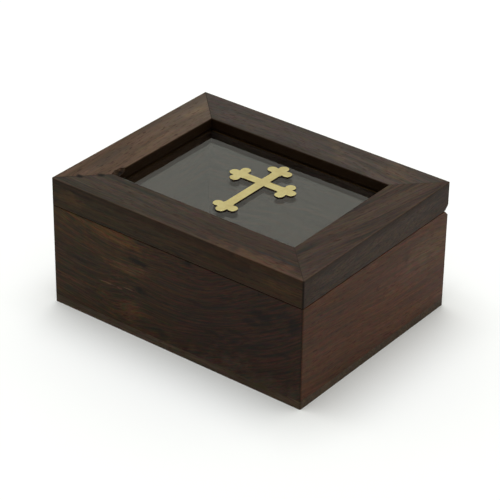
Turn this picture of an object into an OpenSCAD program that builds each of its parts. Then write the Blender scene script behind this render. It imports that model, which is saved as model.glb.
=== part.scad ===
// Rosewood rosary box: a mitred box on a bottom board, with a framed glass lid that
// carries a thin brass cross and turns on two butt hinges in a V groove at the back.
// Millimetres. Origin: middle of the underside. +X right, +Y to the back, +Z up.

/* [Box] */
// Width of the box from left to right
box_w = 140; // [132:1:170]
// Depth of the box from front to back
box_d = 109; // [104:1:130]
// Height of the closed box
box_h = 64.5; // [55:0.5:90]
// Thickness of the four walls
wall_t = 11; // [10.5:0.5:14]
// Thickness of the board glued under the walls
bottom_t = 4; // [3:0.5:6]

/* [Lid] */
// Thickness of the lid
lid_t = 13.9; // [13:0.1:18]
// Width of the lid's rails
rail_w = 19.8; // [18:0.1:22]
// Height of the rails' lip above the glass groove
lip_t = 5; // [3:0.1:5.5]
// Depth of the glass groove in the rails
groove_d = 5; // [4:0.5:6]
// Thickness of the glass
glass_t = 3.2; // [2:0.1:3.5]

/* [Cross] */
// Height of the cross from foot to head
cross_h = 50.8; // [40:0.1:54]
// Width of the cross over both arms
cross_w = 36.6; // [30:0.1:40]
// Thickness of the brass
cross_t = 0.5; // [0.4:0.1:1.5]
// Width of the bars
bar_w = 4.7; // [4:0.1:5.5]
// Radius of the three buds at each end
bud_r = 2.45; // [2:0.05:2.6]
// How far the cross sits to the right of the middle of the lid
cross_x = 0.4; // [-2:0.1:2]
// How far the cross sits behind the middle of the lid
cross_y = 1; // [-2:0.1:2]

/* [Hinges] */
// Length of each hinge
hinge_l = 25; // [20:1:30]
// Distance of each hinge from the middle of the box
hinge_x = 38; // [30:1:45]
// Distance of the pin's centre from the back face
pin_inset = 2.2; // [2.1:0.1:2.4]
// Radius of the pin
pin_r = 0.8; // [0.6:0.1:0.8]
// Thickness of the leaves
leaf_t = 0.9; // [0.8:0.1:0.9]
// Reach of a leaf from the pin's centre
leaf_reach = 7.8; // [7:0.1:8]
// Length of the screws
screw_l = 8; // [6:0.5:9]

/* [Edges] */
// Leg of the chamfers that form the V groove at the back
chamfer = 3.1; // [3:0.1:4]
// Radius of the lid's upper arrises
arris = 0.5; // [0.3:0.1:1]
// Gap between the box and the closed lid
joint_gap = 0.2; // [0.1:0.1:0.4]

/* [Hidden] */
$fn = 64;

// Heights of the joint between box and lid
joint_z = box_h - lid_t;
wall_top = joint_z - joint_gap / 2;
wall_h = wall_top - bottom_t;
rail_z = joint_z + joint_gap / 2;
rail_h = box_h - rail_z;

// The glass lies on the lower face of a groove that is a little higher than the glass
glass_play = 0.3;
groove_h = glass_t + glass_play;
groove_z = rail_h - lip_t - groove_h;
glass_z = rail_z + groove_z;
glass_side_play = 0.6;
glass_w = box_w - 2 * (rail_w - groove_d + glass_side_play);
glass_d = box_d - 2 * (rail_w - groove_d + glass_side_play);

// Small radii and the number of flats that draw each rounded arris
arris_flats = 3;
soft_arris = 0.3;
corner_r = 0.8;

// Where the round parts of a bud stand, measured from the tip of its bar
bud_back = 5.6;
bud_side = 4.05;
bud_core_r = 3.15;
bud_core_back = 5.2;
neck_r = 2.8;
neck_back = 7.3;

// Hinge sizes that follow from the pin and the leaf
pin_y = box_d / 2 - pin_inset;
barrel_r = pin_r + leaf_t;
barrel_room = 0.25;
knuckles = 5;
knuckle_pitch = hinge_l / knuckles;
knuckle_play = 0.15;
running_play = 0.05;
leaf_play = 0.1;

// Countersunk screws
screw_r = 0.9;
screw_head_r = 1.8;
screw_head_h = screw_head_r - screw_r;
screw_point = 1.6;
screw_tip_r = 0.15;
screw_x = 8;
screw_y = pin_y - 4.9;
slot_w = 0.5;
slot_d = 0.35;

rosewood = "#5a3322";
rosewood_pale = "#7a5236";
clear_glass = [0.75, 0.8, 0.78, 0.35];
brass = "#c9b36f";

// Points of an arc, which is one sharp corner where the radius is zero
function arc(x, y, r, from) = r == 0 ? [[x, y]] :
    [for (i = [0:arris_flats]) [x, y] + r * unit(from + 90 * i / arris_flats)];
function unit(a) = [cos(a), sin(a)];

// Outline of a rectangle with its own radius at each corner, from the lower left round
module eased_rectangle(w, h, r) {
    polygon(concat(
        arc(r[0], r[0], r[0], 180),
        arc(w - r[1], r[1], r[1], 270),
        arc(w - r[2], h - r[2], r[2], 0),
        arc(r[3], h - r[3], r[3], 90)));
}

// Plan of a bar mitred at both ends, with its half of each rounded outer corner
module mitred_plan(length, width) {
    left = [for (i = [0:arris_flats])
        let (a = 225 + 45 * i / arris_flats)
        [corner_r - length / 2 + corner_r * cos(a), corner_r + corner_r * sin(a)]];
    right = [for (i = [arris_flats:-1:0]) [-left[i][0], left[i][1]]];
    polygon(concat(left, right,
        [[length / 2 - width, width], [width - length / 2, width]]));
}

// A bar along X with its outer face on Y = 0: its section is the child, drawn with
// X from the outer face inwards and Y upwards
module mitred_bar(length, width, height) {
    intersection() {
        translate([-length / 2, 0, 0]) rotate([90, 0, 90]) linear_extrude(length) children();
        linear_extrude(height) mitred_plan(length, width);
    }
}

// Turns a bar to its side of the box: 0 front, 90 right, 180 back, 270 left
module on_side(turn, span, z) {
    rotate([0, 0, turn]) translate([0, -span / 2, z]) children();
}

module wall(turn, length, span) {
    on_side(turn, span, bottom_t)
        mitred_bar(length, wall_t, wall_h)
            eased_rectangle(wall_t, wall_h, [0, 0, soft_arris, soft_arris]);
}

module rail(turn, length, span) {
    on_side(turn, span, rail_z)
        mitred_bar(length, rail_w, rail_h)
            difference() {
                eased_rectangle(rail_w, rail_h, [soft_arris, soft_arris, arris, arris]);
                translate([rail_w - groove_d, groove_z]) square([groove_d + 1, groove_h]);
            }
}

// The V groove along the back edges of box and lid
module back_groove() {
    translate([0, box_d / 2, joint_z])
        rotate([0, 90, 0])
            rotate([0, 0, 45])
                cube([chamfer * sqrt(2), chamfer * sqrt(2), box_w + 2], center = true);
}

module at_hinges() {
    for (side = [-1, 1]) translate([side * hinge_x, 0, 0]) children();
}

// Room for the barrel and for one leaf, cut into the wood above or below the joint
module hinge_bed(up) {
    bed_y = pin_y - leaf_reach;
    at_hinges() {
        translate([0, pin_y, joint_z]) rotate([0, 90, 0])
            cylinder(r = barrel_r + barrel_room, h = hinge_l + 2 * leaf_play, center = true);
        translate([0, bed_y, joint_z]) mirror([0, 0, up ? 0 : 1])
            translate([-hinge_l / 2 - leaf_play, -leaf_play, -1])
                cube([hinge_l + 2 * leaf_play, leaf_reach + pin_inset + 1,
                    1 + joint_gap / 2 + leaf_t]);
    }
}

// One leaf with its knuckles: `first` is its first knuckle, and every second one is its own
module hinge_leaf(side, up, first, bore_r) {
    other_first = 1 - first;
    color(brass) translate([side * hinge_x, pin_y, joint_z])
        mirror([0, 0, up ? 0 : 1])
            difference() {
                union() {
                    translate([-hinge_l / 2, -leaf_reach, joint_gap / 2])
                        cube([hinge_l, leaf_reach, leaf_t]);
                    for (k = [first:2:knuckles - 1]) knuckle(k, barrel_r, -knuckle_play);
                }
                for (k = [other_first:2:knuckles - 1])
                    knuckle(k, barrel_r + barrel_room, knuckle_play);
                rotate([0, 90, 0]) cylinder(r = bore_r, h = hinge_l + 2, center = true);
                for (x = [-screw_x, screw_x])
                    translate([x, screw_y - pin_y, joint_gap / 2]) screw_body();
            }
}

module knuckle(k, r, longer) {
    translate([(k + 0.5) * knuckle_pitch - hinge_l / 2, 0, 0])
        rotate([0, 90, 0]) cylinder(r = r, h = knuckle_pitch + longer, center = true);
}

module hinge_pin(side) {
    color(brass)
        translate([side * hinge_x, pin_y, joint_z])
            rotate([0, 90, 0]) cylinder(r = pin_r, h = hinge_l, center = true);
}

// A screw that points up from the plane of its head
module screw_body() {
    cylinder(r1 = screw_head_r, r2 = screw_r, h = screw_head_h);
    translate([0, 0, screw_head_h])
        cylinder(r = screw_r, h = screw_l - screw_head_h - screw_point);
    translate([0, 0, screw_l - screw_point])
        cylinder(r1 = screw_r, r2 = screw_tip_r, h = screw_point);
}

module at_screws(up) {
    at_hinges() for (x = [-screw_x, screw_x])
        translate([x, screw_y, joint_z]) mirror([0, 0, up ? 0 : 1])
            translate([0, 0, joint_gap / 2]) children();
}

module screws(up) {
    color(brass) at_screws(up) difference() {
        screw_body();
        translate([-screw_head_r - 1, -slot_w / 2, -1])
            cube([2 * screw_head_r + 2, slot_w, slot_d + 1]);
    }
}

// A side wall, whose mitred back end is cut by the V groove too
module side_wall(turn) {
    color(rosewood) difference() {
        wall(turn, box_d, box_w);
        back_groove();
    }
}

module box_front_wall() { color(rosewood) wall(0, box_w, box_d); }
module box_right_wall() { side_wall(90); }
module box_left_wall() { side_wall(270); }
module box_back_wall() {
    color(rosewood) difference() {
        wall(180, box_w, box_d);
        back_groove();
        hinge_bed(up = false);
        at_screws(up = false) screw_body();
    }
}

module bottom_board() {
    color(rosewood) translate([-box_w / 2, -box_d / 2, 0]) linear_extrude(bottom_t)
        eased_rectangle(box_w, box_d, [corner_r, corner_r, corner_r, corner_r]);
}

module side_rail(turn) {
    difference() {
        rail(turn, box_d, box_w);
        back_groove();
    }
}

module lid_front_rail() { color(rosewood) rail(0, box_w, box_d); }
module lid_right_rail() { color(rosewood) side_rail(90); }
module lid_left_rail() { color(rosewood_pale) side_rail(270); }
module lid_back_rail() {
    color(rosewood) difference() {
        rail(180, box_w, box_d);
        back_groove();
        hinge_bed(up = true);
        at_screws(up = true) screw_body();
    }
}

module glass_pane() {
    color(clear_glass) translate([-glass_w / 2, -glass_d / 2, glass_z])
        cube([glass_w, glass_d, glass_t]);
}

module left_hinge_box_leaf() { hinge_leaf(-1, false, 0, pin_r); }
module left_hinge_lid_leaf() { hinge_leaf(-1, true, 1, pin_r + running_play); }
module left_hinge_pin() { hinge_pin(-1); }
module right_hinge_box_leaf() { hinge_leaf(1, false, 0, pin_r); }
module right_hinge_lid_leaf() { hinge_leaf(1, true, 1, pin_r + running_play); }
module right_hinge_pin() { hinge_pin(1); }
module box_leaf_screws() { screws(up = false); }
module lid_leaf_screws() { screws(up = true); }

// The three buds at the end of a bar whose tip is at the origin and which runs along -Y
module buds() {
    translate([0, -bud_r]) circle(r = bud_r);
    translate([0, -bud_core_back]) circle(r = bud_core_r);
    translate([0, -neck_back]) circle(r = neck_r);
    for (side = [-1, 1]) translate([side * bud_side, -bud_back]) circle(r = bud_r);
}

module brass_cross() {
    arm = cross_w / 2;
    color(brass)
        translate([cross_x, cross_y + cross_h / 2 - arm, glass_z + glass_t])
            linear_extrude(cross_t)
                for (turn = [0, 90, 180, 270])
                    rotate(turn) {
                        reach = turn == 180 ? cross_h - arm : arm;
                        translate([0, reach]) buds();
                        translate([-bar_w / 2, 0]) square([bar_w, reach - bud_r]);
                    }
}

box_front_wall();
box_back_wall();
box_left_wall();
box_right_wall();
bottom_board();
lid_front_rail();
lid_back_rail();
lid_left_rail();
lid_right_rail();
glass_pane();
brass_cross();
left_hinge_box_leaf();
left_hinge_lid_leaf();
left_hinge_pin();
right_hinge_box_leaf();
right_hinge_lid_leaf();
right_hinge_pin();
box_leaf_screws();
lid_leaf_screws();
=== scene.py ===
import math

import bmesh
import bpy
from mathutils import Matrix, Quaternion, Vector


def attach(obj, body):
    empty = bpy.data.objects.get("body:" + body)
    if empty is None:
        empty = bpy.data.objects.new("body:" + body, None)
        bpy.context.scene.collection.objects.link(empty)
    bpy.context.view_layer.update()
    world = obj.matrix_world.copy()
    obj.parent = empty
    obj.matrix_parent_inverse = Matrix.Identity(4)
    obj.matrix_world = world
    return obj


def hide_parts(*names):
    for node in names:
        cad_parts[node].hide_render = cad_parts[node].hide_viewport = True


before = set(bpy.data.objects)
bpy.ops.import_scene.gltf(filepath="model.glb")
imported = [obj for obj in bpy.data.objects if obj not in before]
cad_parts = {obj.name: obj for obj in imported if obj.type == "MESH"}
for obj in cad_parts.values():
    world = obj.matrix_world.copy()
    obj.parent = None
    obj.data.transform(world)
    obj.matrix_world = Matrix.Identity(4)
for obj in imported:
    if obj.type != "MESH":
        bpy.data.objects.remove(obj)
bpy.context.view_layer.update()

# Bottom board: one rosewood board, sawn 4 mm thick and glued under the four walls, flush
# with them all round. Its long grain runs from left to right, so its two ends show end
# grain. It was sanded with the walls and has no finish but a thin coat of oil.


def linear(tone):
    """A colour written as sRGB hex, turned to the linear colour that a shader takes."""
    parts = [int(tone[i:i + 2], 16) / 255 for i in (1, 3, 5)]
    curve = [c / 12.92 if c <= 0.04045 else ((c + 0.055) / 1.055) ** 2.4 for c in parts]
    return (*curve, 1.0)


def node(tree, kind, inputs=None, **settings):
    """Adds one node: its settings, then each input's value or the socket it is linked to."""
    made = tree.nodes.new("ShaderNode" + kind)
    for name, value in settings.items():
        setattr(made, name, value)
    for socket, value in (inputs or {}).items():
        if isinstance(value, bpy.types.NodeSocket):
            tree.links.new(value, made.inputs[socket])
        else:
            made.inputs[socket].default_value = value
    return made


def new_shader(name):
    """An empty material with its output node."""
    made = bpy.data.materials.new(name)
    made.use_nodes = True
    made.node_tree.nodes.clear()
    return made, node(made.node_tree, "OutputMaterial")


def oiled_rosewood(name, grain, tones, seed, turned=(0, 0, 0), sweep=None, stains_and_painted_light=(),
                   ends=None, wander=7.0, shares=(0.28, 0.36, 0.36), rail=None,
                   fibres=1.0, edges=(0.35, 0.0), outside=None):
    """Indian rosewood: close, nearly black-brown wood with darker streaks and open pores
    0.3 mm wide and some millimetres long. Sanded and oiled, it has a dull sheen with no
    mirror in it. All lengths are millimetres of the real wood. grain is the axis that the
    grain runs along, tones are its dark, middle and light brown, seed is the place in the
    log that it was cut from, turned leans the grain, and wander is how far it strays. sweep
    bends it upwards on both sides of an X. stains_and_painted_light are (centre, radii,
    colour, strength): stained wood, and spots of painted light and shade. ends gives the
    three tones at the board's far end, as (axis, from, to, tones). shares are the weights
    of its bands, streaks and hair lines, and fibres how far single fibres differ in colour.
    rail says, for a lid rail, how dark the painted shade in its opening is under the glass
    and how dark its mitres' glue lines are, and edges how dark the box's corners and the
    sides under the lid's upper edge are. outside is the share of red, green and blue that
    the outer side of a rail keeps beside its top: painted shade that makes the side darker
    and warmer, as the top catches a grey sheen and the side warm bounced light."""
    made, out = new_shader(name)
    tree = made.node_tree
    here = node(tree, "TexCoord").outputs["Object"]
    to_mm = (1000, 1000, 1000)
    place = node(tree, "Mapping", {"Vector": here, "Scale": to_mm}).outputs[0]
    board = node(tree, "Mapping", {
        "Vector": place, "Location": seed, "Rotation": [math.radians(a) for a in turned]
    }).outputs[0]
    if sweep:
        lowest, left_bend, right_bend = sweep
        run = node(tree, "SeparateXYZ", {0: place})
        run = node(tree, "Math", {0: run.outputs[0], 1: lowest}, operation="SUBTRACT").outputs[0]
        bend = node(tree, "Math", {0: run, 1: 0.0}, operation="GREATER_THAN").outputs[0]
        bend = node(tree, "MapRange", {"Value": bend, "To Min": -left_bend,
                                       "To Max": -right_bend}).outputs[0]
        drop = node(tree, "Math", {0: run, 1: run}, operation="MULTIPLY").outputs[0]
        drop = node(tree, "Math", {0: drop, 1: bend}, operation="MULTIPLY").outputs[0]
        drop = node(tree, "CombineXYZ", {2: drop}).outputs[0]
        board = node(tree, "VectorMath", {0: board, 1: drop}).outputs[0]

    # The grain strays to either side once in about 50 mm across it and 110 mm along it.
    # Noise keeps within a quarter of its middle value, so 4 times wander is its whole swing.
    spread = 4
    middle = (0.5, 0.5, 0.5)
    slow = Vector((0.02,) * 3)
    slow[grain] = 0.009
    path = node(tree, "VectorMath", {0: board, 1: slow}, operation="MULTIPLY").outputs[0]
    path = node(tree, "TexNoise", {"Vector": path, "Scale": 1.0, "Detail": 2.0,
                                   "Roughness": 0.45}).outputs["Color"]
    across = Vector((wander,) * 3) * spread
    across[grain] = 0
    path = node(tree, "VectorMath", {0: path, 1: middle}, operation="SUBTRACT")
    path = node(tree, "VectorMath", {0: path.outputs[0], 1: across}, operation="MULTIPLY")
    fibre = node(tree, "VectorMath", {0: board, 1: path.outputs[0]}).outputs[0]

    # Bands, streaks, hair lines and pores, each with its width across the grain and its
    # length along it. The pores are drawn 0.5 mm wide, because finer ones don't show.
    layers = []
    for wide, long, detail in ((13, 170, 1.0), (3.2, 110, 2.0), (0.9, 34, 2.0), (0.5, 5, 1.0)):
        scale = Vector((1 / wide,) * 3)
        scale[grain] = 1 / long
        at = node(tree, "VectorMath", {0: fibre, 1: scale}, operation="MULTIPLY").outputs[0]
        layers.append(node(tree, "TexNoise", {"Vector": at, "Scale": 1.0, "Detail": detail,
                                              "Roughness": 0.55}).outputs)
    bands, streaks, hairs, pores = [layer["Fac"] for layer in layers]
    figure = node(tree, "Math", {0: bands, 1: shares[0]}, operation="MULTIPLY").outputs[0]
    for layer, share in ((streaks, shares[1]), (hairs, shares[2])):
        figure = node(tree, "Math", {0: layer, 1: share, 2: figure},
                      operation="MULTIPLY_ADD").outputs[0]
    darkest, lightest = 0.39, 0.61
    figure = node(tree, "MapRange", {"Value": figure, "From Min": darkest, "From Max": lightest,
                                     "To Min": 0.0, "To Max": 1.0}).outputs[0]

    def brown(three):
        ramp = node(tree, "ValToRGB", {"Fac": figure})
        ramp.color_ramp.elements.new(0.5)
        for stop, place_on, tone in zip(ramp.color_ramp.elements, (0.0, 0.5, 1.0), three):
            stop.position = place_on
            stop.color = linear(tone)
        return ramp.outputs[0]

    colour = brown(tones)
    if ends:
        axis, first, last, far_tones = ends
        along = node(tree, "SeparateXYZ", {0: place}).outputs[axis]
        share = node(tree, "MapRange", {"Value": along, "From Min": first, "From Max": last},
                     interpolation_type="SMOOTHSTEP").outputs[0]
        colour = node(tree, "Mix", {0: share, 6: colour, 7: brown(far_tones)},
                      data_type="RGBA").outputs[2]

    # Knots and stained wood, and some spots of painted light and shade, are laid on the wood.
    # Their edges lean about unevenly, in steps of some 6 mm, they are full in their inner
    # quarter, and the grain's dark lines break up pale ones.
    veins = node(tree, "MapRange", {"Value": figure, "From Min": 0.2, "From Max": 0.8,
                                    "To Min": 0.45, "To Max": 1.0}).outputs[0]
    lean = node(tree, "VectorMath", {0: board, 1: (0.16, 0.16, 0.16)}, operation="MULTIPLY")
    lean = node(tree, "TexNoise", {"Vector": lean.outputs[0], "Scale": 1.0, "Detail": 3.0})
    lean = node(tree, "VectorMath", {0: lean.outputs["Color"], 1: middle},
                operation="SUBTRACT").outputs[0]
    ragged = (1.6, 1.6, 1.6)
    full_within = 0.25
    pale_above = 0.08
    for centre, radii, tone, strength in stains_and_painted_light:
        from_centre = node(tree, "VectorMath", {0: place, 1: centre}, operation="SUBTRACT")
        spot = node(tree, "VectorMath", {0: from_centre.outputs[0], 1: radii},
                    operation="DIVIDE").outputs[0]
        spot = node(tree, "VectorMath", {0: lean, 1: ragged, 2: spot},
                    operation="MULTIPLY_ADD").outputs[0]
        spot = node(tree, "VectorMath", {0: spot}, operation="LENGTH").outputs["Value"]
        spot = node(tree, "MapRange", {"Value": spot, "From Min": 1.0, "From Max": full_within,
                                       "To Min": 0.0, "To Max": strength},
                    interpolation_type="SMOOTHSTEP").outputs[0]
        if linear(tone)[0] > pale_above:
            spot = node(tree, "Math", {0: spot, 1: veins}, operation="MULTIPLY").outputs[0]
        colour = node(tree, "Mix", {0: spot, 6: colour, 7: linear(tone)},
                      data_type="RGBA").outputs[2]

    # Single fibres run from amber to violet, in lines as fine as the hair lines and pores.
    # Each layer says how far red, green and blue swing about the wood's own colour.
    for layer, swing in ((layers[2], (0.6, 0.25, 0.6)), (layers[3], (1.2, 0.9, 1.1))):
        swing = [amount * fibres for amount in swing]
        least = [1 - amount / 2 for amount in swing]
        tint = node(tree, "VectorMath", {0: layer["Color"], 1: swing, 2: least},
                    operation="MULTIPLY_ADD").outputs[0]
        colour = node(tree, "Mix", {0: 1.0, 6: colour, 7: tint}, data_type="RGBA",
                      blend_type="MULTIPLY").outputs[2]

    # Pores are fine dark dashes along the grain
    edge, bottom, dark = 0.57, 0.69, 0.6
    pore = node(tree, "MapRange", {"Value": pores, "From Min": edge, "From Max": bottom})
    pore = pore.outputs[0]
    shade = node(tree, "Math", {0: pore, 1: dark}, operation="MULTIPLY").outputs[0]
    colour = node(tree, "Mix", {0: shade, 6: colour, 7: linear("#140d09")},
                  data_type="RGBA").outputs[2]

    if rail:
        under_glass, glue = rail
        # Inside the lid's opening the wood is darkened with painted shade, most of all above the
        # glass, for the little light that reaches the recess. In the groove for the glass it is
        # painted paler, painted light for what comes in through the glass. opening is half its
        # width, half its depth and the height just above the glass.
        opening = (50.2, 34.7, 59.4)
        over_glass = 0.93
        span = node(tree, "VectorMath", {0: place}, operation="ABSOLUTE").outputs[0]
        past = node(tree, "VectorMath", {0: span, 1: opening}, operation="SUBTRACT").outputs[0]
        span = node(tree, "SeparateXYZ", {0: span}).outputs
        past = node(tree, "SeparateXYZ", {0: past}).outputs
        inside = node(tree, "Math", {0: past[0], 1: past[1]}, operation="MAXIMUM").outputs[0]
        # The groove's middle and half its size, going into the rail and up or down
        groove_middle, groove_half = (2.9, -1.8), (2.7, 2.0)
        painted_groove_light = node(tree, "Math", {0: past[2], 1: groove_middle[1], 2: groove_half[1]},
                    operation="COMPARE").outputs[0]
        groove = node(tree, "Math", {0: inside, 1: groove_middle[0], 2: groove_half[0]},
                      operation="COMPARE").outputs[0]
        painted_groove_light = node(tree, "Math", {0: painted_groove_light, 1: groove}, operation="MULTIPLY").outputs[0]
        inside = node(tree, "MapRange", {"Value": inside, "From Min": 0.5, "From Max": 0.1,
                                         "To Min": 0.0, "To Max": 1.0}).outputs[0]
        shade_by_height = node(tree, "MapRange", {"Value": past[2], "From Min": -0.2, "From Max": 0.2,
                                         "To Min": under_glass, "To Max": over_glass})
        inside = node(tree, "Math", {0: inside, 1: shade_by_height.outputs[0]},
                      operation="MULTIPLY").outputs[0]
        # At a mitre the way from the box's middle to the side is 15.5 mm more than the way
        # to the front: half the box's width less half its depth
        width_less_depth, line_half = 15.5, 0.3
        mitre = node(tree, "Math", {0: span[0], 1: span[1]}, operation="SUBTRACT").outputs[0]
        mitre = node(tree, "Math", {0: mitre, 1: width_less_depth, 2: line_half},
                     operation="COMPARE").outputs[0]
        mitre = node(tree, "Math", {0: mitre, 1: glue}, operation="MULTIPLY").outputs[0]
        # Painted light in the groove, painted shade in the opening, and the mitres' dark glue
        # line
        for share, tone in ((painted_groove_light, "#6b4f2e"), (inside, "#241505"), (mitre, "#1c110a")):
            colour = node(tree, "Mix", {0: share, 6: colour, 7: linear(tone)},
                          data_type="RGBA").outputs[2]

    # Handling and oil darken the outer corners, where the mitres meet. The sides of the lid
    # are darker just under its upper edge. The arris itself is painted paler, a painted
    # highlight along it. faces lie about half a millimetre inside the box's sides and its top.
    faces = (69.45, 53.95, 63.85)
    outer = node(tree, "VectorMath", {0: place}, operation="ABSOLUTE").outputs[0]
    outer = node(tree, "VectorMath", {0: outer, 1: faces}, operation="SUBTRACT").outputs[0]
    outer = node(tree, "SeparateXYZ", {0: outer}).outputs
    corner = node(tree, "Math", {0: outer[0], 1: outer[1]}, operation="MINIMUM").outputs[0]
    corner = node(tree, "MapRange", {"Value": corner, "From Min": -0.5, "From Max": 0.35,
                                     "To Min": 0.0, "To Max": edges[0]}).outputs[0]
    outward = node(tree, "Math", {0: outer[0], 1: outer[1]}, operation="MAXIMUM").outputs[0]
    # How strong the painted highlight on the outer upper arris is
    arris_highlight = 0.2
    arris = node(tree, "MapRange", {"Value": outward, "From Min": -0.3, "From Max": 0.2,
                                    "To Min": 0.0, "To Max": arris_highlight}).outputs[0]
    upper = node(tree, "MapRange", {"Value": outer[2], "From Min": 0.15, "From Max": 0.4})
    arris = node(tree, "Math", {0: arris, 1: upper.outputs[0]}, operation="MULTIPLY").outputs[0]
    side = node(tree, "MapRange", {"Value": outward, "From Min": 0.35, "From Max": 0.5})
    side = side.outputs[0]
    # The outer side of a rail is painted darker and warmer than its top: painted shade for the
    # grey sheen that the top catches and the warm light bounced onto the side
    if outside:
        kept = node(tree, "Mix", {0: side, 6: (1, 1, 1, 1), 7: (*outside, 1)}, data_type="RGBA")
        colour = node(tree, "Mix", {0: 1.0, 6: colour, 7: kept.outputs[2]}, data_type="RGBA",
                      blend_type="MULTIPLY").outputs[2]
    rim = node(tree, "MapRange", {"Value": outer[2], "From Min": -3.3, "From Max": 0.1,
                                  "To Min": 0.0, "To Max": edges[1]}).outputs[0]
    rim = node(tree, "Math", {0: rim, 1: side}, operation="MULTIPLY").outputs[0]
    for share, tone in ((corner, "#110c08"), (rim, "#1e0f02"), (arris, "#645244")):
        colour = node(tree, "Mix", {0: share, 6: colour, 7: linear(tone)},
                      data_type="RGBA").outputs[2]

    # The streaks differ a little in sheen, and the pores are open to a few hundredths of
    # a millimetre
    rough = node(tree, "MapRange", {"Value": streaks, "From Min": 0.3, "From Max": 0.7,
                                    "To Min": 0.42, "To Max": 0.54}).outputs[0]
    relief = node(tree, "Math", {0: pore, 1: -1.0, 2: hairs}, operation="MULTIPLY_ADD")
    skin = node(tree, "Bump", {"Height": relief.outputs[0], "Strength": 0.35,
                               "Distance": 0.00006}).outputs[0]
    surface = node(tree, "BsdfPrincipled", {
        "Base Color": colour, "Roughness": rough, "Normal": skin,
        "IOR": 1.5, "Specular IOR Level": 0.07})
    tree.links.new(surface.outputs[0], out.inputs[0])
    return made


def dress(name, finish):
    """Gives a node of the frame its finish."""
    slots = cad_parts[name].data.materials
    slots.clear()
    slots.append(finish)


dress("bottom_board", oiled_rosewood(
    "oiled_rosewood_board", 0, ("#3c2d1d", "#473a2e", "#564737"), (310, 40, 12)))

# Box walls: four rosewood boards 11 mm thick, mitred at the corners and glued. The front
# board shows its grain sweeping up at the right, two dark knots and an orange patch of
# younger wood. The right board is redder and paler. All were sanded flush and oiled.
knot = "#17110d"
dress("box_front_wall", oiled_rosewood(
    "oiled_rosewood_front_wall", 0, ("#2c2013", "#352617", "#402c19"), (40, 700, 20),
    sweep=(-14, 0.0018, 0.0044), shares=(0.18, 0.22, 0.62), fibres=1.6,
    ends=(0, -35, 25, ("#211711", "#2d1d14", "#352117")),
    stains_and_painted_light=[
        # Painted light: the front board is paler towards its foot, for light bounced up from the
        # table
        ((50, -54.5, 0), (70, 9, 15), "#44352b", 0.55),
        ((-40, -54.5, 48), (32, 10, 9), "#5a3d1e", 0.7),
        ((-26, -54.5, 34), (17, 9, 4), "#5c4126", 0.5),
        ((-24, -54.5, 14), (9, 9, 6), "#533c22", 0.45),
        ((-20.5, -54.5, 39.3), (6, 8, 2.6), knot, 0.9),
        ((-17.7, -54.5, 25.3), (6, 8, 2.1), knot, 0.9),
        ((8.4, -54.5, 49.5), (3.5, 8, 1.6), knot, 0.85),
        ((46.7, -54.5, 48.8), (0.8, 6, 0.8), knot, 0.9),
        ((50, -54.5, 38.3), (8, 8, 4.5), knot, 0.8),
        ((66, -54.5, 41), (6, 8, 6), knot, 0.8),
        ((42, -54.5, 33.6), (8, 8, 2), knot, 0.7),
        ((36, -54.5, 24.6), (11, 8, 1.7), knot, 0.65),
        ((20, -54.5, 19.5), (12, 8, 1.6), knot, 0.6),
        ((14, -54.5, 31), (11, 8, 1.3), knot, 0.5),
        ((30, -54.5, 40), (9, 8, 1.3), knot, 0.5),
        ((58, -54.5, 24), (9, 8, 1.6), knot, 0.5),
        ((-6.5, -54.5, 7.5), (6, 8, 2), knot, 0.55),
        ((-56, -54.5, 28), (17, 8, 1.5), knot, 0.6),
        ((-40, -54.5, 22), (7, 8, 0.5), "#5e4a38", 0.75),
        ((-31.5, -54.5, 21.6), (3, 8, 0.6), "#5e4a38", 0.75),
        ((-25.5, -54.5, 23.4), (5, 8, 0.5), "#5e4a38", 0.75),
    ]))
dress("box_right_wall", oiled_rosewood(
    "oiled_rosewood_right_wall", 1, ("#422a1b", "#4d301f", "#573826"), (15, 90, 500),
    turned=(8, 0, 0), ends=(1, -45, 45, ("#492e21", "#543626", "#5d402f")), wander=4,
    fibres=1.2,
    stains_and_painted_light=[
        ((70, 40, 38), (8, 26, 13), "#615038", 0.5),
        ((70, 22, 41), (8, 4, 5), "#33241a", 0.45),
        ((70, 7, 31), (8, 3, 2), "#33241a", 0.4),
        ((70, 40, 33), (8, 2.5, 3), "#33241a", 0.35),
        ((70, -28, 36), (8, 6, 2), "#32261c", 0.4),
    ]))
dress("box_left_wall", oiled_rosewood(
    "oiled_rosewood_left_wall", 1, ("#35271b", "#453325", "#553d2a"), (60, 20, 240)))
dress("box_back_wall", oiled_rosewood(
    "oiled_rosewood_back_wall", 0, ("#31251a", "#413023", "#523b28"), (500, 10, 80)))

# Butt hinges: two small brass hinges 25 mm long, pressed from 0.9 mm strip and rolled
# round a pin 1.6 mm thick, with two countersunk brass screws in each leaf. The leaves are
# let into the wood. Brass that isn't lacquered dulls to a soft golden brown.


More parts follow.
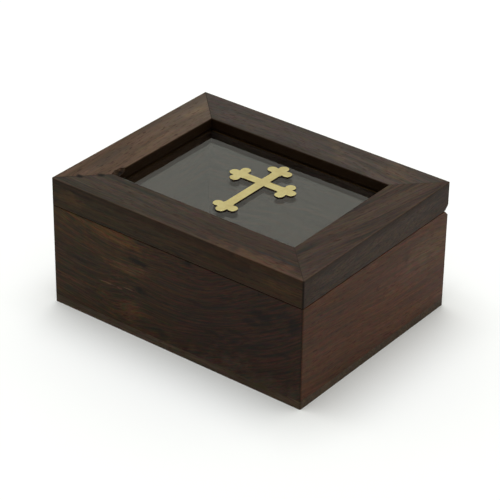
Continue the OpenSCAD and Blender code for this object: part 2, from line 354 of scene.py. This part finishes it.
def dull_brass(name, tone, rough, scratch):
    """Brass sheet, polished with fine abrasive: warm yellow with a soft, smeared shine.
    rough is how soft its shine is and scratch how deep its fine marks are."""
    made, out = new_shader(name)
    tree = made.node_tree
    here = node(tree, "TexCoord").outputs["Object"]
    # Rubbing marks are 0.1 mm wide, and tarnish lies in soft clouds 6 mm across
    fine = node(tree, "Mapping", {"Vector": here, "Scale": (2500, 10000, 10000)}).outputs[0]
    marks = node(tree, "TexNoise", {"Vector": fine, "Scale": 1.0, "Detail": 2.0}).outputs["Fac"]
    broad = node(tree, "Mapping", {"Vector": here, "Scale": (160, 160, 160)}).outputs[0]
    cloud = node(tree, "TexNoise", {"Vector": broad, "Scale": 1.0, "Detail": 3.0}).outputs["Fac"]
    tarnish = node(tree, "MapRange", {"Value": cloud, "From Min": 0.42, "From Max": 0.72,
                                      "To Min": 0.0, "To Max": 0.3}).outputs[0]
    colour = node(tree, "Mix", {0: tarnish, 6: linear(tone), 7: linear("#b89d5c")},
                  data_type="RGBA").outputs[2]
    shine = node(tree, "MapRange", {"Value": marks, "To Min": rough - 0.08,
                                    "To Max": rough + 0.08}).outputs[0]
    skin = node(tree, "Bump", {"Height": marks, "Strength": scratch,
                               "Distance": 0.00002}).outputs[0]
    surface = node(tree, "BsdfPrincipled", {
        "Base Color": colour, "Metallic": 1.0, "Roughness": shine, "Normal": skin})
    tree.links.new(surface.outputs[0], out.inputs[0])
    return made


hinge_brass = dull_brass("hinge_brass", "#d9bf78", 0.34, 0.3)
for part in ("left_hinge_box_leaf", "left_hinge_lid_leaf", "left_hinge_pin",
             "right_hinge_box_leaf", "right_hinge_lid_leaf", "right_hinge_pin"):
    dress(part, hinge_brass)
# The screws are turned from another brass, redder and never polished
screw_brass = dull_brass("turned_screw_brass", "#b48d55", 0.42, 0.4)
for part in ("box_leaf_screws", "lid_leaf_screws"):
    dress(part, screw_brass)

# Lid rails: four rosewood rails, 13.8 mm thick and 19.8 mm wide, mitred and glued round
# the glass, which sits in a groove cut in their inner edges. The left rail is the palest,
# and its inner edge is chipped beside the front mitre.
lid_edges = (0.8, 0.6)
# Small pits at the front-left mitre, painted dark rather than cut: their dark is painted shade
pit = "#0c0805"
mitre_pits = [((-54.1, -38.9, 64.5), (2.6, 2.2, 3), pit, 1.0),
              ((-61.1, -45.6, 64.5), (2.6, 2.2, 3), pit, 1.0)]
dress("lid_back_rail", oiled_rosewood(
    "oiled_rosewood_back_rail", 0, ("#352d26", "#3d3631", "#463b36"), (220, 60, 33),
    ends=(0, -5, 25, ("#352f29", "#3f3731", "#4c413b")), fibres=0.7, rail=(0.25, 0.3),
    edges=lid_edges,
    stains_and_painted_light=[((7, 52, 64), (3.4, 3.4, 5), "#57493c", 0.55),
            ((11, 48.5, 64), (3.4, 3.4, 5), "#57493c", 0.55),
            ((15, 45, 64), (3.4, 3.4, 5), "#57493c", 0.55),
            ((19, 41, 64), (3.4, 3.4, 5), "#57493c", 0.5),
            ((47, 46, 64), (14, 8, 6), "#5a4736", 0.5)]))
dress("lid_right_rail", oiled_rosewood(
    "oiled_rosewood_right_rail", 1, ("#29221e", "#392c25", "#44372d"), (410, 5, 77),
    turned=(0, 0, 11), fibres=0.9, rail=(0.5, 0.3), edges=lid_edges, wander=4,
    outside=(0.97, 0.94, 0.87),
    stains_and_painted_light=[((70.6, -51, 57), (1.6, 12, 11), "#2a1b10", 0.4),
            ((69.5, -40, 64.5), (3, 14, 3), "#2c2420", 0.4)]))
dress("lid_front_rail", oiled_rosewood(
    "oiled_rosewood_front_rail", 0, ("#2a251f", "#382f27", "#42362d"), (95, 260, 41),
    ends=(0, -30, 35, ("#2a201b", "#362a22", "#3f2f28")), rail=(0.5, 0.6),
    edges=lid_edges, wander=3, outside=(0.86, 0.71, 0.42),
    stains_and_painted_light=[((48, -52.6, 65), (41, 5.8, 4), "#4e392a", 0.85),
            ((48, -46.6, 64.5), (25, 1.6, 3), "#2d2a26", 0.75),
            ((0, -55, 61.8), (100, 1.2, 3.2), "#2a1803", 0.6),
            ((36, -55, 57.2), (11, 2, 0.9), knot, 0.5),
            ((31, -55, 59), (26, 1.4, 4.5), "#261604", 0.5),
            ((57, -55, 56.5), (17, 1.6, 3.2), "#53402f", 0.6),
            ((-58, -55, 57.5), (10, 1.6, 5), "#4f4030", 0.5),
            ((-53, -55, 61.6), (13, 2, 1.1), knot, 0.7),
            ((-20, -55, 56), (14, 2, 1.0), knot, 0.4),
            # A painted highlight on the front rail's inner arris, left of its middle
            ((-43.5, -34.9, 64.4), (8, 0.6, 0.8), "#a39a92", 0.9),
            *mitre_pits]))
dress("lid_left_rail", oiled_rosewood(
    "oiled_rosewood_left_rail", 1, ("#403123", "#523f32", "#5d4a3b"), (33, 400, 9),
    shares=(0.5, 0.34, 0.16), fibres=0.45, ends=(1, -10, 50, ("#4c4037", "#56493e", "#5e5347")),
    rail=(0.6, 0.9), edges=lid_edges, wander=3,
    stains_and_painted_light=[((-62.5, -24, 64.5), (4.5, 24, 4), "#3f342b", 0.75),
            ((-67, 12, 64.5), (2, 16, 4), "#43382f", 0.6),
            ((-56, 4, 64.5), (3, 28, 4), "#675442", 0.5),
            ((-60, 36, 64.5), (4, 10, 4), "#705c47", 0.55),
            # Painted shade in the hollow of the chip
            ((-49.6, -31.3, 63.6), (3.6, 6, 3.6), "#140d08", 1.0),
            *mitre_pits]))


def merged_copy(name):
    """A copy of a CAD node's shape, its loose triangles joined into whole faces."""
    copy = bmesh.new()
    copy.from_mesh(cad_parts[name].data)
    bmesh.ops.remove_doubles(copy, verts=copy.verts, dist=0.000001)
    bmesh.ops.dissolve_limit(copy, angle_limit=math.radians(1), verts=copy.verts,
                             edges=copy.edges)
    return copy


# The chip in the left rail's inner edge, broken out along the grain: a scoop 9 mm long,
# its bottom uneven by a fifth of a millimetre
chip_centre = (-0.0496, -0.0313, 0.0652)
chip_radii = (0.0028, 0.0049, 0.0034)
unevenness = 0.0002
chipped = bpy.data.meshes.new("chipped_left_rail")
shape = merged_copy("lid_left_rail")
shape.to_mesh(chipped)
shape.free()
left_rail = bpy.data.objects.new("chipped_left_rail", chipped)
scoop_mesh = bpy.data.meshes.new("scoop")
shape = bmesh.new()
scoop_place = Matrix.Translation(chip_centre) @ Matrix.Diagonal((*chip_radii, 1))
bmesh.ops.create_icosphere(shape, subdivisions=4, radius=1.0, matrix=scoop_place)
for v in shape.verts:
    v.co.x += unevenness * math.sin(v.co.y * 2100) * math.cos(v.co.z * 1700)
    v.co.z += unevenness * math.sin(v.co.y * 3300 + v.co.x * 1500)
shape.to_mesh(scoop_mesh)
shape.free()
scoop = bpy.data.objects.new("scoop", scoop_mesh)
for part in (left_rail, scoop):
    bpy.context.scene.collection.objects.link(part)
cut = left_rail.modifiers.new("chip", "BOOLEAN")
cut.operation = "DIFFERENCE"
cut.object = scoop
bpy.context.view_layer.update()
carved = bpy.data.meshes.new_from_object(
    left_rail.evaluated_get(bpy.context.evaluated_depsgraph_get()))
left_rail.modifiers.clear()
left_rail.data = carved
bpy.data.objects.remove(scoop)
carved.materials.clear()
carved.materials.append(cad_parts["lid_left_rail"].data.materials[0])
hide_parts("lid_left_rail")
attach(left_rail, "lid")

# Glass: a plain pane of clear float glass 3.2 mm thick, cut to size and laid in the
# groove before the last rail was glued. Both of its faces mirror the recess faintly.
pane, pane_out = new_shader("clear_float_glass")
pane_tree = pane.node_tree
clear_glass = node(pane_tree, "BsdfPrincipled", {
    "Base Color": linear("#fbfdfb"), "Roughness": 0.0, "IOR": 1.5,
    "Transmission Weight": 1.0})
# A lamp's light passes the pane, so the inside of the box isn't blacker than it should be
let_through = node(pane_tree, "BsdfTransparent", {"Color": (0.85, 0.86, 0.85, 1)})
shadow = node(pane_tree, "LightPath").outputs["Is Shadow Ray"]
pane_face = node(pane_tree, "MixShader", {
    0: shadow, 1: clear_glass.outputs[0], 2: let_through.outputs[0]})
pane_tree.links.new(pane_face.outputs[0], pane_out.inputs[0])
dress("glass_pane", pane)

# Cross: a thin budded cross cut from 0.5 mm brass sheet by laser, which leaves its cut edge
# dark. Its upper edge is eased by a tenth of a millimetre, its top has a satin rub, and it
# is stuck to the pane.
cross_edge = 0.00012
cross_mesh = bpy.data.meshes.new("satin_brass_cross")
shape = merged_copy("brass_cross")
shape.normal_update()
top = max(v.co.z for v in shape.verts)
for face in shape.faces:
    face.material_index = 1 if abs(face.normal.z) < 0.3 else 0
rim = [e for e in shape.edges
       if all(v.co.z > top - 0.000001 for v in e.verts) and e.calc_face_angle(0) > 1]
bmesh.ops.bevel(shape, geom=rim, offset=cross_edge, segments=3, profile=0.5,
                affect="EDGES", material=-1, clamp_overlap=True)
shape.to_mesh(cross_mesh)
shape.free()
cross = bpy.data.objects.new("satin_brass_cross", cross_mesh)
bpy.context.scene.collection.objects.link(cross)
cross_mesh.materials.append(dull_brass("satin_brass", "#e6d89c", 0.24, 0.2))
burnt, burnt_out = new_shader("laser_burnt_brass_edge")
# Soot lies on it in specks of 0.4 mm
specks = node(burnt.node_tree, "TexNoise", {"Scale": 2500.0, "Detail": 2.0, "Vector": node(
    burnt.node_tree, "TexCoord").outputs["Object"]}).outputs["Fac"]
soot = node(burnt.node_tree, "Mix", {0: specks, 6: linear("#120c07"), 7: linear("#33241a")},
            data_type="RGBA").outputs[2]
soot = node(burnt.node_tree, "BsdfPrincipled", {"Base Color": soot, "Roughness": 0.7,
                                                "Specular IOR Level": 0.2})
burnt.node_tree.links.new(soot.outputs[0], burnt_out.inputs[0])
cross_mesh.materials.append(burnt)
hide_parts("brass_cross")
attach(cross, "lid")

# Studio: a plain white table under a large soft light, in a pale room that is brighter
# behind the box than in front of it. The glass and the brass mirror the back of the room.
table = bpy.data.meshes.new("white_table")
sheet = bmesh.new()
bmesh.ops.create_grid(sheet, x_segments=1, y_segments=1, size=4.0)
sheet.to_mesh(table)
sheet.free()
table_top = bpy.data.objects.new("white_table", table)
bpy.context.scene.collection.objects.link(table_top)
paper, paper_out = new_shader("white_paper")
paper_face = node(paper.node_tree, "BsdfDiffuse", {"Color": linear("#f9faf9")})
paper.node_tree.links.new(paper_face.outputs[0], paper_out.inputs[0])
table.materials.append(paper)

room = bpy.data.worlds.new("pale_room")
bpy.context.scene.world = room
room.use_nodes = True
room.node_tree.nodes.clear()
room_out = node(room.node_tree, "OutputWorld")
view_to = node(room.node_tree, "TexCoord").outputs["Generated"]
brightest_way = (-0.5, 0.75, 0.43)
facing = node(room.node_tree, "VectorMath", {0: view_to, 1: brightest_way},
              operation="DOT_PRODUCT").outputs["Value"]
glow = node(room.node_tree, "MapRange", {"Value": facing, "From Min": -0.6, "From Max": 0.5},
            interpolation_type="SMOOTHSTEP").outputs[0]
room_front, room_back = (0.2, 0.196, 0.184, 1), (0.65, 0.645, 0.58, 1)
room_colour = node(room.node_tree, "Mix", {0: glow, 6: room_front, 7: room_back},
                   data_type="RGBA").outputs[2]
room_light = node(room.node_tree, "Background", {"Color": room_colour, "Strength": 1.0})
room.node_tree.links.new(room_light.outputs[0], room_out.inputs[0])

soft_box = bpy.data.lights.new("soft_box", "AREA")
soft_box.shape = "SQUARE"
soft_box.size = 1.1
soft_box.energy = 16
soft_box.color = (0.985, 1.0, 1.05)
lamp = bpy.data.objects.new("soft_box", soft_box)
bpy.context.scene.collection.objects.link(lamp)
lamp.location = (-0.12, 0.05, 1.5)
lamp.rotation_euler = lamp.location.to_track_quat("Z", "Y").to_euler()

# Camera: set back about a metre, to the right of the box and above it, as the photograph
# was taken. Its long lens draws the box with little perspective.
camera = bpy.data.objects.new("camera", bpy.data.cameras.new("camera"))
bpy.context.scene.collection.objects.link(camera)
bpy.context.scene.camera = camera
camera.data.sensor_width = 36
camera.data.lens = 163.94
camera.data.clip_start = 0.05
camera.location = (0.53888, -0.70232, 0.55605)
ahead = Vector((-0.52279, 0.68137, -0.51227))
roll = math.radians(0.811)
camera.rotation_mode = "QUATERNION"
camera.rotation_quaternion = ahead.to_track_quat("-Z", "Y") @ Quaternion((0, 0, 1), roll)

bpy.context.scene.view_settings.view_transform = "Standard"
